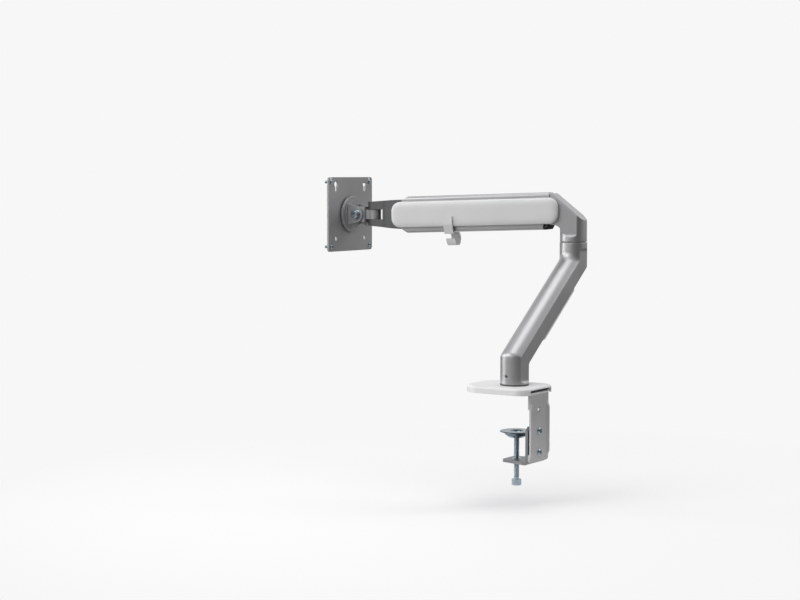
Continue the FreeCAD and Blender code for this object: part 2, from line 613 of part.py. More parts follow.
def channel(name, place, side, hole_far):
    """A U-shaped link. side is 1 for the top link, open below, and -1 for the bottom one."""
    link = Piece(name, place)
    half, wall, length = d.link_half, d.link_wall, d.link_length
    outer, inner = side * d.link_outer, -side * d.link_inner
    web = side * (d.link_outer - wall)
    link.pad(link.outline("YZ", [
        (-half, outer), (half, outer), (half, inner), (half - wall, inner), (half - wall, web),
        (wall - half, web), (wall - half, inner), (-half, inner),
    ], -d.link_round), length + d.link_round + 9)
    link.soften(d.shoulder if side > 0 else 2.4, lambda e: along(e, X) and near(e, z=outer)
                and abs(e.CenterOfMass.y) > 15)
    round_end = d.link_round
    link.cut(link.outline("XZ", [
        (-16, side * -20), (-16, side * 14), (-5.27, side * 14), (-5.27, outer, side * round_end),
        (-7.07, side * -7.07), (-2, side * -12.5), (-2, side * -20),
    ]))
    link.cut(link.outline("XZ", [
        (length - 3, side * 14), (length - 3, outer), (length + 2.4, side * 5), (length + 7.4, side * 1.5),
        (length + 8, side * -4), (length + 3, side * -12.5), (length + 3, side * -20),
        (length + 20, side * -20), (length + 20, side * 14),
    ]))
    deep = d.pin_hole_half * 2
    link.cut(link.circles("XZ", [(0, 0)], d.pin_radius + d.pin_fit), deep, both=True)
    link.cut(link.circles("XZ", [(length, 0)], d.pin_radius + hole_far), deep, both=True)
    return link


def side_cover(name, place):
    """One white cover: a shallow crowned shell with two posts that meet the link's wall."""
    cover = Piece(name, place)
    half, edge, wall = d.side_height / 2, d.side_round, d.side_wall
    shell = rounded(-d.side_rear, -half, d.side_front, half, edge, edge)
    cover.pad(cover.outline("XZ", shell, -d.side_inner), d.side_proud, back=True)
    outer = (d.side_inner + d.side_proud).number
    cover.soften(d.side_edge, lambda e: abs(e.BoundBox.YMin - outer) < 0.01)
    hollow = rounded(wall - d.side_rear, wall - half, d.side_front - wall, half - wall,
                     edge - wall, edge - wall)
    cover.cut(cover.outline("XZ", hollow, -d.side_inner), d.side_proud - wall)
    centre = d.side_top - half
    return cover, -d.post_drop - centre


def upper_arm():
    """Both links, the bumper, the side covers and the clip under the arm."""
    top_link = channel("top_link", TOP, 1, d.pin_fit)
    posts = [(d.post_near, -d.post_drop), (d.post_far, -d.post_drop)]
    top_link.cut(top_link.circles("XZ", posts, 1.6))
    bottom_link = channel("bottom_link", BOTTOM, -1, d.open_fit)
    bottom_link.cut(bottom_link.outline("XZ", [(-20, 0), (0, 0), (0, -20), (-20, -20)]))

    bumper = Piece("link_bumper", BOTTOM)
    outer = d.link_round
    bumper.pad(bumper.outline("XZ", [
        (-outer, -0.2), (-5.27, -d.link_outer), (-0.1, -d.link_outer), (-0.1, -d.bumper_bore),
        (-3.6, -5.2), (-5.6, -2.9), (-d.bumper_bore, -0.2),
    ]), d.link_half * 2, both=True)

    middle = d.side_top - d.side_height / 2
    screws = []
    for name, turn, way in (("side_cover_near", 0, 1), ("side_cover_far", 180, -1)):
        place = TOP * at(0, 0, middle, (1, 0, 0), turn)
        cover, drop = side_cover(name, place)
        spots = [(x, way * drop) for x in (d.post_near, d.post_far)]
        cover.pad(cover.circles("XZ", spots, d.post_size, -d.link_half), d.side_proud - 1, back=True)
        cover.cut(cover.circles("XZ", spots, 1.55, -d.link_half), 5)
        for k, x in enumerate((d.post_near, d.post_far), start=1):
            seat = point_along((0, -way, 0), TOP, x, way * (d.link_half - d.link_wall), -d.post_drop)
            screws.append(screw(f"{name}_screw_{k}", seat, 1.5, 6.8, 2.8, 1.8, 1.2))
    gather("side_cover_screws", screws)


def cable_clip():
    """The sprung hook that slides along the side cover and holds a lead below the arm."""
    clip = Piece("cable_clip", TOP)
    face, thick = d.clip_face, d.clip_thick
    top = -d.pivot_drop - d.link_outer - 0.8
    turn, far, curl, start = d.clip_turn, -d.clip_far, d.clip_curl, d.clip_near
    middle = top - turn
    under, low = top - thick, top - turn * 2
    across, up = math.sin(math.radians(CLIP_CURL)), math.cos(math.radians(CLIP_CURL))
    clip.pad(clip.outline("YZ", [
        (face, -23.2), (face, -35), (face - 7.3, top + 0.4), (face - 9, top),
        (far, top, turn), (far - turn, middle, turn), (far, low), (start, low, curl),
        (start + curl * across, low + curl * (1 - up)),
        (start + (curl - thick) * across, low + curl - (curl - thick) * up, thick - curl),
        (start, low + thick), (far, low + thick, thick - turn), (far - turn + thick, middle, thick - turn),
        (far, under), (face - 8.3, under), (face + thick - 7.6, under + 0.9),
        (face + thick, -35.4), (face + thick, -23.2),
    ], d.clip_middle - d.clip_half), d.clip_half * 2)


def spring_works():
    """The tie, carriage, spring and adjuster inside the upper arm, in the top link's frame."""
    level = -d.anchor_drop
    tie = Piece("spring_tie", TOP)
    tie.pad(tie.outline("XZ", [
        (-7.5, level - 7), (7.5, level - 7), (12, level - d.tie_depth),
        (d.carriage_start, level - d.tie_depth), (d.carriage_start, level + d.tie_depth),
        (12, level + d.tie_depth), (7.5, level + 8.4),
        (-7.5, level + 8.4),
    ]), d.tie_half * 2, both=True)
    tie.cut(tie.outline("XZ", [(-4.1, level - 3.8), (4.1, level - 3.8), (4.1, level + 6.1),
                               (-4.1, level + 6.1)]))

    carriage = Piece("spring_carriage", point_along((1, 0, 0), TOP, 0, 0, level))
    start = d.carriage_start
    nose = start + d.carriage_thick
    carriage.turn([
        (0, start), (d.carriage_radius, start), (d.carriage_radius, nose), (d.nose_radius, nose),
        (d.nose_radius, nose + d.nose_length - 1), (d.nose_radius - 1, nose + d.nose_length),
        (0, nose + d.nose_length),
    ])

    spring = Piece("lift_spring", point_along((1, 0, 0), TOP, 0, 0, level))
    wire = d.spring_wire
    section = spring.circles("XZ", [(d.spring_mean, nose + wire + 0.1)], wire)
    coil = spring.add("PartDesign::AdditiveHelix", "coil")
    coil.Profile = section
    coil.ReferenceAxis = (section, ["V_Axis"])
    coil.Mode = 2
    coil.setExpression("Height", (d.spring_end - nose - wire * 2 - 0.2).text)
    coil.Turns = 14
    spring.settle(coil)

    seat = Piece("spring_seat", point_along((1, 0, 0), TOP, 0, 0, level))
    end = d.spring_end
    seat.turn([
        (d.adjust_radius + 0.05, end - 12), (d.nose_radius, end - 12), (d.nose_radius, end),
        (d.carriage_radius, end), (d.carriage_radius, end + d.seat_thick),
        (d.adjust_radius + 0.05, end + d.seat_thick),
    ])
    block = Piece("spring_block", TOP)
    start, thick, inner = d.block_start, d.block_thick, d.link_half - d.link_wall
    block.pad(block.outline("YZ", [
        (-10, level - 6.5), (10, level - 6.5), (10, level + 2), (inner, level + 3), (inner, 5),
        (-inner, 5), (-inner, level + 3), (-10, level + 2),
    ], start), thick)
    block.cut(block.circles("YZ", [(0, level)], d.adjust_radius + 0.05))
    screw("adjust_screw", point_along((1, 0, 0), TOP, start + thick, 0, level), d.adjust_radius,
          thick + 30, d.adjust_head, 4, 2.6)


def wrist():
    """The dark fork at the end of the links, level with the desk at every height."""
    fork = Piece("wrist_fork", FORK)
    axis = (UPPER.inverse() * HEAD).Base.x - (UPPER.inverse() * FORK).Base.x
    lift = FORK.Base.z - HEAD.Base.z
    tip = axis + d.tine_half
    fork.pad(fork.outline("XZ", [
        (-5.5, -2), (-2, d.fork_rear_top), (20, d.fork_rear_top - 0.7), (tip, d.tip_top - lift),
        (tip, -d.tip_low - lift), (20, -d.fork_rear_low + 0.9), (-2, -d.fork_rear_low),
        (-5.5, -d.pivot_drop + 2),
    ]), d.fork_half * 2, both=True)
    for drop in (0, d.pivot_drop):
        fork.pad(fork.circles("XZ", [(0, -size(drop))], d.tongue_boss), d.fork_half * 2, both=True)
    tine, wide = d.tine_half, d.fork_half
    fork.cut(fork.outline("XY", [
        (axis - 24, 30), (axis - 24, wide), (axis - 17, tine), (axis, tine, -tine), (axis + tine, 0, -tine),
        (axis, -tine), (axis - 17, -tine), (axis - 24, -wide), (axis - 24, -30), (axis + 30, -30),
        (axis + 30, 30),
    ]))
    fork.cut(fork.outline("XZ", [
        (axis - d.window_start, -lift - d.window_half), (axis + 30, -lift - d.window_half),
        (axis + 30, -lift + d.window_half), (axis - d.window_start, -lift + d.window_half),
    ]))
    fork.cut(fork.circles("XZ", [(0, 0), (0, -d.pivot_drop)], d.pin_radius + d.press_fit))
    fork.cut(fork.circles("XY", [(axis, 0)], d.pin_radius + d.press_fit))
    gather("wrist_pins", [
        rod(f"wrist_pin_{k}", point_along((0, 1, 0), FORK, 0, 0, -size(drop)), d.pin_radius,
            -d.pin_half, d.pin_half)
        for k, drop in enumerate((0, d.pivot_drop), start=1)
    ])
    rod("pan_pin", HEAD, d.pin_radius, 0.4 - d.tip_low, d.tip_top - 0.4)
    gap = d.window_half - d.barrel_half
    gather("pan_washers", [
        ring(f"pan_washer_{k}", HEAD, d.pin_radius + 0.1, 8.6, low, low + gap - 0.1)
        for k, low in enumerate((d.barrel_half + 0.1, -d.window_half), start=1)
    ])


def head():
    """The knuckle, the tilt bracket with its bolt, and the screen plate with its screws."""
    knuckle = Piece("pan_knuckle", HEAD)
    knuckle.pad(knuckle.circles("XY", [(0, 0)], d.barrel_radius), d.barrel_half * 2, both=True)
    neck = d.barrel_radius - 1.1
    knuckle.pad(knuckle.outline("XY", [(0, -neck), (d.block_rear + 3, -neck), (d.block_rear + 3, neck),
                                       (0, neck)]), d.barrel_half * 2, both=True)
    axis, radius = d.tilt_reach, d.block_radius
    knuckle.pad(knuckle.outline("XZ", [
        (d.block_rear, -radius), (axis, -radius, radius), (axis + radius, 0, radius), (axis, radius),
        (d.block_rear, radius),
    ]), d.block_half * 2, both=True)
    knuckle.pad(knuckle.outline("XZ", [(12, -8), (17, -radius - 6.5), (24, -8)]), 5, both=True)
    knuckle.cut(knuckle.circles("XY", [(0, 0)], d.pin_radius + d.pin_fit, 30), 60)
    knuckle.cut(knuckle.circles("XZ", [(axis, 0)], d.bolt_radius + d.pin_fit))
    knuckle.soften(2.5, lambda e: along(e, Z) and near(e, x=d.block_rear) and
                   abs(abs(e.CenterOfMass.y) - d.block_half.number) < 0.05)

    bracket = Piece("tilt_bracket", HEAD)
    inner, thick, start = d.ear_inner, d.ear_thick, d.disc_start
    centre, bend = axis + d.ear_back, d.ear_radius
    side_run, root = (start - centre).number, d.ear_root.number
    touch = math.atan2(root, side_run) + math.acos(bend.number / math.hypot(side_run, root))
    touch_x, touch_z = centre + bend * math.cos(touch), bend * math.sin(touch)
    ear = [
        (start, -d.ear_root), (touch_x, -touch_z, -bend), (centre - bend, 0, -bend),
        (touch_x, touch_z), (start, d.ear_root),
    ]
    bracket.pad(bracket.circles("YZ", [(0, 0)], d.disc_radius, start), d.disc_thick)
    bracket.pad(bracket.circles("YZ", [(0, 0)], d.step_radius, start - d.disc_step), d.disc_step)
    for side in (1, -1):
        low = inner if side < 0 else -inner
        bracket.pad(bracket.outline("XZ", ear, low), thick, back=side > 0)
    bracket.cut(bracket.circles("XZ", [(axis, 0)], d.bolt_radius + d.press_fit))
    bracket.cut(bracket.circles("YZ", [(0, 0)], d.rivet_radius + d.press_fit))
    face = start + d.disc_thick
    bracket.soften(1.2, lambda e: abs(e.BoundBox.XMax - start.number) < 0.01
                   and abs(e.BoundBox.XMin - start.number) < 0.01 and e.BoundBox.YLength > 50)

    outside = inner + thick
    seat = point_along((0, 1, 0), HEAD, axis, outside + 1, 0)
    screw("tilt_bolt", seat, d.bolt_radius, outside * 2 + 1 + 8.5, d.bolt_head, d.bolt_head_tall, 3.4)
    gather("tilt_washers", [
        ring(f"tilt_washer_{k}", point_along((0, way, 0), HEAD, axis, way * outside, 0),
             d.bolt_radius + 0.1, 7.2, 0, 1)
        for k, way in enumerate((1, -1), start=1)
    ])
    nut = Piece("tilt_nut", point_along((0, -1, 0), HEAD, axis, -outside - 1, 0))
    nut.pad(nut.outline("XY", hexagon(7.2)), 6)
    nut.cut(nut.circles("XY", [(0, 0)], d.bolt_radius + d.press_fit))

    turned = point_along((1, 0, 0), HEAD, 0, 0, 0)
    recess = d.vesa_face + d.vesa_thick - d.rivet_recess
    rivet = Piece("turn_rivet", turned)
    step = start - d.disc_step
    rivet.turn([
        (0, step - 1.6), (8, step - 1.6), (8, step - 0.02), (d.rivet_radius, step - 0.02),
        (d.rivet_radius, recess + 0.1), (d.rivet_head, recess + 0.1),
        (d.rivet_head, d.vesa_face + d.vesa_thick - 0.1), (0, d.vesa_face + d.vesa_thick - 0.1),
    ])
    ring("turn_washer", turned, d.rivet_radius + 0.1, 21, face, d.vesa_face - 0.1)

    plate = Piece("screen_plate", HEAD)
    half = d.vesa_half
    plate.pad(plate.outline("YZ", rounded(-half, -half, half, half, d.vesa_round, d.vesa_round),
                            d.vesa_face), d.vesa_thick)
    big, small, slot, key = d.vesa_pitch, d.vesa_small, d.slot_half, d.key_half
    plate.cut(plate.circles("YZ", [(-big, -big), (big, -big), (big, big), (-big, big)],
                            d.vesa_neck + d.press_fit))
    plate.cut(plate.circles("YZ", [(0, 0)], d.rivet_radius + d.pin_fit))
    plate.cut(plate.circles("YZ", [(0, 0)], d.rivet_head + 0.2, d.vesa_face + d.vesa_thick),
              d.rivet_recess)
    for side in (1, -1):
        middle = side * big
        plate.cut(plate.outline("YZ", [(middle - slot, big), (middle + slot, big),
                                       (middle + slot, half + 5), (middle - slot, half + 5)]))
        middle = side * small
        plate.cut(plate.circles("YZ", [(middle, d.key_high)], d.key_radius))
        for low, high in ((d.key_low, d.key_high), (-small - 1.2, 1.2 - small)):
            plate.cut(plate.outline("YZ", [(middle - key, low), (middle + key, low),
                                           (middle + key, high), (middle - key, high)]))
            plate.cut(plate.circles("YZ", [(middle, low)], key))
        plate.cut(plate.circles("YZ", [(middle, 1.2 - small)], key))
    gather("screen_screws", [
        screw(f"screen_screw_{k}", point_along((-1, 0, 0), HEAD, d.vesa_face, y * big, z * big),
              d.vesa_screw, d.vesa_thick + d.vesa_screw_reach, d.vesa_head, d.vesa_head_tall, 1.3, dome=1,
              neck=[(d.vesa_screw, -d.vesa_thick), (d.vesa_neck, -d.vesa_thick), (d.vesa_neck, 0)])
        for k, (y, z) in enumerate(((-1, -1), (1, -1), (1, 1), (-1, 1)), start=1)
    ])


for build in (base, bracket, clamp, lower_arm, elbow, upper_arm, cable_clip, spring_works, wrist, head):
    build()
doc.recompute()

for item in doc.Objects:
    if "Invalid" in item.State or "Error" in item.State:
        raise RuntimeError(f"{item.Name} is {item.State}")
for name, made in pieces.items():
    if made.Shape.isNull() or not made.Shape.isValid() or not made.Shape.Solids:
        raise RuntimeError(f"{name} has no sound shape")
for name, made in pieces.items():
    made.Shape.exportStep(f"parts/{name}.step")
print(len(pieces), "sub-parts written")
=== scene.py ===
import json
import math

import bmesh
import bpy
from mathutils import Matrix, Vector

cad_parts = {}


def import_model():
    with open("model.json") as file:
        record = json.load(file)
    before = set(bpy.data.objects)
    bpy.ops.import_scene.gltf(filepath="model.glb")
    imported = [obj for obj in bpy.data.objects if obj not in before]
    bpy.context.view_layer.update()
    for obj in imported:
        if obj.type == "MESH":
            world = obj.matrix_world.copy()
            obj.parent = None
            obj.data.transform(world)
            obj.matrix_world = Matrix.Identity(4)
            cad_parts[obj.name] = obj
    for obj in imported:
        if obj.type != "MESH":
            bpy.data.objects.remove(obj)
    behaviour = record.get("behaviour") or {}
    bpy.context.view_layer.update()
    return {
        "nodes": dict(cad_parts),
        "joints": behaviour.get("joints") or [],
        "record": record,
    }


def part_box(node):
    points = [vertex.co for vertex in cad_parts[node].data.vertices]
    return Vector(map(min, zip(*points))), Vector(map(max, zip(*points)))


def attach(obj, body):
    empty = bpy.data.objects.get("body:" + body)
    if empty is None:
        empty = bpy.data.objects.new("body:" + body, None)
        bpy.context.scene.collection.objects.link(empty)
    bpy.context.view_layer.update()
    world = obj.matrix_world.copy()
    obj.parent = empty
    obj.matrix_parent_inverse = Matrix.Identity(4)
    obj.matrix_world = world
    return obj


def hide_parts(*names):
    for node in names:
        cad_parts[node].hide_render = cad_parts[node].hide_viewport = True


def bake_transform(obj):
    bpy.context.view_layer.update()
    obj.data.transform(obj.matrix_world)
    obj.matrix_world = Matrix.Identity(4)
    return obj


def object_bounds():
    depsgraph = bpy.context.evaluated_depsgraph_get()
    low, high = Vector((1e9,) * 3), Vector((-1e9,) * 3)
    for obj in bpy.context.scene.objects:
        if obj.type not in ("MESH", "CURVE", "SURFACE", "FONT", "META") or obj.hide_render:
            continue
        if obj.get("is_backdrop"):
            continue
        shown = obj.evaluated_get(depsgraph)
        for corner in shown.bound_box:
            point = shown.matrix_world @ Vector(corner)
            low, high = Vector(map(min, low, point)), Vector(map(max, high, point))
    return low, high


# The looks of a desk-clamped monitor arm. Every CAD node keeps its mesh and gets a procedural material, but
# for the two side covers and the lift spring: those are built here in full, and so are the screw threads.
# Metres throughout. MM turns the named sizes, which are in millimetres, into metres.

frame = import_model()
joints = {joint["name"]: joint for joint in frame["joints"]}
MM = 0.001


# ---------------------------------------------------------------- node trees

def tree_of(name):
    """A new material, its node tree and its shader."""
    made = bpy.data.materials.new(name)
    made.use_nodes = True
    tree = made.node_tree
    shader = next(node for node in tree.nodes if node.type == "BSDF_PRINCIPLED")
    return made, tree, shader


def node(tree, kind, inputs=(), **settings):
    """Adds a node. inputs holds (socket, value or output) pairs."""
    made = tree.nodes.new(kind)
    for key, value in settings.items():
        setattr(made, key, value)
    for socket, value in inputs:
        if isinstance(value, bpy.types.NodeSocket):
            tree.links.new(value, made.inputs[socket])
        else:
            made.inputs[socket].default_value = value
    return made


def noise(tree, place, scale, detail=3.0, stretch=None):
    """Noise over the object's own coordinates, which move with it."""
    if stretch:
        place = node(tree, "ShaderNodeMapping", [("Vector", place), ("Scale", stretch)]).outputs[0]
    inputs = [("Vector", place), ("Scale", scale), ("Detail", detail)]
    return node(tree, "ShaderNodeTexNoise", inputs).outputs["Fac"]


def spread(tree, value, low, high, start=0.3, end=0.7):
    """Maps the usual range of a noise to low..high."""
    return node(tree, "ShaderNodeMapRange", [
        ("Value", value), ("From Min", start), ("From Max", end), ("To Min", low), ("To Max", high),
    ]).outputs["Result"]


def blend(tree, factor, first, second):
    """Mixes two colours, or a colour with what another node makes."""
    return node(tree, "ShaderNodeMix", [("Factor", factor), ("A", first), ("B", second)],
                data_type="RGBA").outputs["Result"]


def edge_mask(tree, radius):
    """A rounded normal, and a mask near 1 on corners: where that normal leaves the true one."""
    sharp_corner, flat_face = 0.80, 0.995
    round_normal = node(tree, "ShaderNodeBevel", [("Radius", radius)], samples=4).outputs["Normal"]
    true_normal = node(tree, "ShaderNodeNewGeometry").outputs["Normal"]
    same = node(tree, "ShaderNodeVectorMath", [(0, round_normal), (1, true_normal)],
                operation="DOT_PRODUCT").outputs["Value"]
    return round_normal, spread(tree, same, 1.0, 0.0, sharp_corner, flat_face)


def finish_material(name, dark, light, rough, grain, grain_depth, round_edge, metallic=0.0, cloud=25.0,
                    wear=0.0, worn=(0.8, 0.8, 0.8), stretch=None, **sockets):
    """One procedural finish: cloudy colour, uneven roughness, a fine grained bump, soft worn edges.
    dark and light are the colour's ends and rough the roughness's. grain and cloud are the noises' scales,
    grain_depth and round_edge are in millimetres, and sockets holds more of the shader's own inputs."""
    patches = 160.0
    made, tree, shader = tree_of(name)
    place = node(tree, "ShaderNodeTexCoord").outputs["Object"]
    broad = noise(tree, place, cloud, 4.0)
    fine = noise(tree, place, grain, 2.0, stretch)
    colour = blend(tree, spread(tree, broad, 0, 1), (*dark, 1), (*light, 1))
    rounded, corners = edge_mask(tree, round_edge * MM)
    if wear:
        patchy = spread(tree, noise(tree, place, patches, 5.0), 0, wear, 0.35, 0.75)
        amount = node(tree, "ShaderNodeMath", [(0, corners), (1, patchy)], operation="MULTIPLY").outputs[0]
        colour = blend(tree, amount, colour, (*worn, 1))
    both = node(tree, "ShaderNodeMath", [(0, broad), (1, fine)], operation="ADD").outputs[0]
    bump = node(tree, "ShaderNodeBump", [
        ("Strength", 1.0), ("Distance", grain_depth * MM), ("Height", fine), ("Normal", rounded),
    ]).outputs[0]
    tree.links.new(colour, shader.inputs["Base Color"])
    tree.links.new(spread(tree, both, rough[0], rough[1], 0.7, 1.3), shader.inputs["Roughness"])
    tree.links.new(bump, shader.inputs["Normal"])
    shader.inputs["Metallic"].default_value = metallic
    for socket, value in sockets.items():
        shader.inputs[socket.replace("_", " ")].default_value = value
    return made


def silver_paint(name="silver_paint", round_edge=1.0):
    """Satin silver paint over die-cast aluminium."""
    return finish_material(name, (0.42, 0.422, 0.425), (0.45, 0.452, 0.455), (0.35, 0.42),
                           metallic=0.75, grain=1500.0, grain_depth=0.012, round_edge=round_edge,
                           wear=0.25, worn=(0.55, 0.55, 0.56), Coat_Weight=0.15, Coat_Roughness=0.25)


def dark_paint():
    """The head's darker grey paint."""
    return finish_material("dark_paint", (0.115, 0.116, 0.118), (0.14, 0.141, 0.143), (0.34, 0.44),
                           metallic=0.6, grain=1400.0, grain_depth=0.015, round_edge=0.9,
                           wear=0.3, worn=(0.4, 0.4, 0.41), Coat_Weight=0.1, Coat_Roughness=0.3)


def powder_coat():
    """Fine textured powder coat on pressed steel."""
    return finish_material("powder_coat", (0.33, 0.332, 0.334), (0.365, 0.367, 0.369), (0.42, 0.55),
                           metallic=0.35, grain=1100.0, grain_depth=0.05, round_edge=0.6,
                           wear=0.2, worn=(0.3, 0.3, 0.31))


def bracket_paint():
    """Light grey satin coat on the clamp's bent steel."""
    return finish_material("bracket_paint", (0.5, 0.5, 0.502), (0.54, 0.54, 0.542), (0.38, 0.48),
                           metallic=0.45, grain=1200.0, grain_depth=0.03, round_edge=0.8,
                           wear=0.3, worn=(0.5, 0.5, 0.52))


def white_shell():
    """Moulded white plastic with a satin, slightly eggshell surface."""
    return finish_material("white_shell", (0.735, 0.735, 0.735), (0.76, 0.76, 0.757), (0.38, 0.45),
                           grain=2200.0, grain_depth=0.02, round_edge=0.7,
                           Subsurface_Weight=0.05, Subsurface_Radius=(0.002, 0.002, 0.002), IOR=1.49)


def zinc():
    """Bright zinc plate with its bluish passivation."""
    return finish_material("zinc", (0.33, 0.42, 0.47), (0.47, 0.54, 0.58), (0.12, 0.22), metallic=1.0,
                           grain=700.0, grain_depth=0.008, cloud=110.0, round_edge=0.35,
                           wear=0.5, worn=(0.6, 0.62, 0.64), stretch=(1.0, 1.0, 3.0))


def turned_steel():
    """Plain turned steel, ringed by the tool."""
    return finish_material("turned_steel", (0.42, 0.42, 0.43), (0.56, 0.56, 0.57), (0.2, 0.34), metallic=1.0,
                           grain=500.0, grain_depth=0.01, cloud=60.0, round_edge=0.3,
                           stretch=(1.0, 1.0, 6.0))


def black_moulding():
    """Black acetal: bushes, washers and the bumper."""
    return finish_material("black_moulding", (0.006, 0.006, 0.006), (0.012, 0.012, 0.013), (0.5, 0.62),
                           grain=1500.0, grain_depth=0.02, round_edge=0.3, Specular_IOR_Level=0.25)


def grey_moulding():
    """Dark grey acetal washers between the swivelling castings."""
    return finish_material("grey_moulding", (0.055, 0.056, 0.058), (0.075, 0.076, 0.078), (0.4, 0.5),
                           grain=1500.0, grain_depth=0.02, round_edge=0.3)


def foam_rubber():
    """The desk pad's dense foam, with open cells."""
    return finish_material("foam_rubber", (0.02, 0.02, 0.02), (0.035, 0.035, 0.035), (0.8, 0.95),
                           grain=2600.0, grain_depth=0.15, round_edge=0.3)


def jaw_steel():
    """The jaw's steel, a darker grey than the bracket's paint."""
    return finish_material("jaw_steel", (0.2, 0.202, 0.206), (0.26, 0.262, 0.266), (0.34, 0.46),
                           metallic=0.7, grain=1200.0, grain_depth=0.02, round_edge=0.8,
                           wear=0.5, worn=(0.5, 0.5, 0.52))


def blued_steel_painted_shade():
    """The base plate's blued edge, made darker than its blue tone: painted shade for the shadowed gap under
    the base cover's rear notch.
    """
    return finish_material("blued_steel_painted_shade", (0.03, 0.045, 0.055), (0.08, 0.1, 0.115), (0.25, 0.4),
                           metallic=0.9, grain=900.0, grain_depth=0.01, cloud=90.0, round_edge=0.3,
                           wear=0.4, worn=(0.3, 0.32, 0.34))


def dish_zinc_painted_shade():
    """The dish's duller zinc, made darker than the screws' zinc: painted shade that dims the bright
    reflection on its top.
    """
    return finish_material("dish_zinc_painted_shade", (0.13, 0.19, 0.225), (0.24, 0.31, 0.35), (0.15, 0.26), metallic=1.0,
                           grain=700.0, grain_depth=0.008, cloud=70.0, round_edge=0.5,
                           wear=0.6, worn=(0.5, 0.53, 0.56))


def black_oxide():
    """Blackened steel for the pins that show inside the links."""
    return finish_material("black_oxide", (0.012, 0.012, 0.013), (0.025, 0.025, 0.027), (0.35, 0.5),
                           metallic=0.8, grain=900.0, grain_depth=0.01, round_edge=0.3)


FINISHES = {
    "silver_casting": silver_paint(),
    "dark_casting": dark_paint(),
    "dark_steel": powder_coat(),
    "bracket_steel": bracket_paint(),
    "white_plastic": white_shell(),
    "zinc_steel": zinc(),
    "plain_steel": turned_steel(),
    "black_plastic": black_moulding(),
    "grey_plastic": grey_moulding(),
    "black_rubber": foam_rubber(),
}


def dress(obj, slot_name):
    """Gives an object the finish of one of the record's slots."""
    if not obj.material_slots:
        obj.data.materials.append(None)
    for slot in obj.material_slots:
        slot.material = FINISHES[slot_name]


def own_finishes():
    """The finishes of the nodes that look unlike the rest of their slot."""
    soft_silver = silver_paint("soft_silver", round_edge=2.2)
    return {
        "clamp_jaw": jaw_steel(),
        # The base plate's finish is darkened as painted shade for the gap under the base cover.
        "base_plate": blued_steel_painted_shade(),
        "elbow_pins": black_oxide(),
        # The dish's darker zinc is painted shade over its top.
        "pressure_dish": dish_zinc_painted_shade(),
        "pan_knuckle": FINISHES["dark_steel"],
        "lower_arm": soft_silver,
        "elbow_knuckle": soft_silver,
    }


slot_of = {part["node"]: part["material_slot"] for part in frame["record"]["subparts"]}
for name, obj in frame["nodes"].items():
    dress(obj, slot_of[name])
for name, material in own_finishes().items():
    frame["nodes"][name].material_slots[0].material = material


# ---------------------------------------------------------------- new pieces

SMOOTH_ANGLE = math.radians(35)


def piece(name, mesh_builder, body, slot_name, place):
    """Makes a mesh piece in its own axes, puts it in place and lets it ride on a body, if one is given."""
    mesh = bpy.data.meshes.new(name)
    build = bmesh.new()
    mesh_builder(build)
    bmesh.ops.recalc_face_normals(build, faces=build.faces)
    build.to_mesh(mesh)
    build.free()
    mesh.transform(place)
    obj = bpy.data.objects.new(name, mesh)
    bpy.context.scene.collection.objects.link(obj)
    mesh.shade_smooth()
    mesh.set_sharp_from_angle(angle=SMOOTH_ANGLE)
    dress(obj, slot_name)
    if body:
        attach(obj, body)
    return obj


def axes_at(origin, along, up):
    """A frame at origin whose X is along and whose Z is as near to up as it can be."""
    x = Vector(along).normalized()
    y = Vector(up).cross(x).normalized()
    return Matrix.Translation(origin) @ Matrix((x, y, x.cross(y))).transposed().to_4x4()


def local_spots(node_name, place):
    """A CAD node's vertices in a frame of its own."""
    inverse = place.inverted()
    return [inverse @ vertex.co for vertex in frame["nodes"][node_name].data.vertices]


def box_of(spots):
    """The lowest and highest corners of some points."""
    return [Vector([pick(spot[k] for spot in spots) for k in range(3)]) for pick in (min, max)]


def circle(radius, steps):
    """The points of a circle, as pairs."""
    turns = (2 * math.pi * k / steps for k in range(steps))
    return [(radius * math.cos(turn), radius * math.sin(turn)) for turn in turns]


def loft(build, rings):
    """Joins closed rings of points, each to the next, and caps the first and the last."""
    rows = [[build.verts.new(point) for point in ring] for ring in rings]
    count = len(rows[0])
    for low, high in zip(rows, rows[1:]):
        for k in range(count):
            build.faces.new((low[k], low[(k + 1) % count], high[(k + 1) % count], high[k]))
    build.faces.new(rows[0][::-1])
    build.faces.new(rows[-1])


def thread(radius, depth, pitch, low, high):
    """A builder for a screw thread: a V ridge that winds about Z on a shank and fades at both ends."""
    steps = 28
    half_foot, half_crest, sunk = pitch * 0.47, pitch * 0.07, depth * 0.3

    def build_thread(build):
        total = int(((high - low) / pitch - 1) * steps)
        rings = []
        for k in range(total + 1):
            angle = 2 * math.pi * k / steps
            height = low + pitch / 2 + pitch * k / steps
            fade = min(1.0, k / steps, (total - k) / steps)
            crest, root = radius + depth * fade, radius - sunk
            turned = Vector((math.cos(angle), math.sin(angle), 0))
            rings.append([
                turned * root + Vector((0, 0, height - half_foot)),
                turned * crest + Vector((0, 0, height - half_crest)),
                turned * crest + Vector((0, 0, height + half_crest)),
                turned * root + Vector((0, 0, height + half_foot)),
            ])
        loft(build, rings)

    return build_thread


def clamp_thread():
    """The clamp screw's thread, from just above its head into the dish's hub."""
    head_tall, shank, depth, pitch = 9 * MM, 3.6 * MM, 0.36 * MM, 1.25 * MM
    plain_neck, hub = 1 * MM, 2 * MM
    low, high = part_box("clamp_screw")
    middle = (low + high) / 2
    start, end = low.z + head_tall + plain_neck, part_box("pressure_dish")[0].z + hub
    piece("clamp_thread", thread(shank, depth, pitch, start, end), "clamp_spindle", "zinc_steel",
          Matrix.Translation((middle.x, middle.y, 0)))


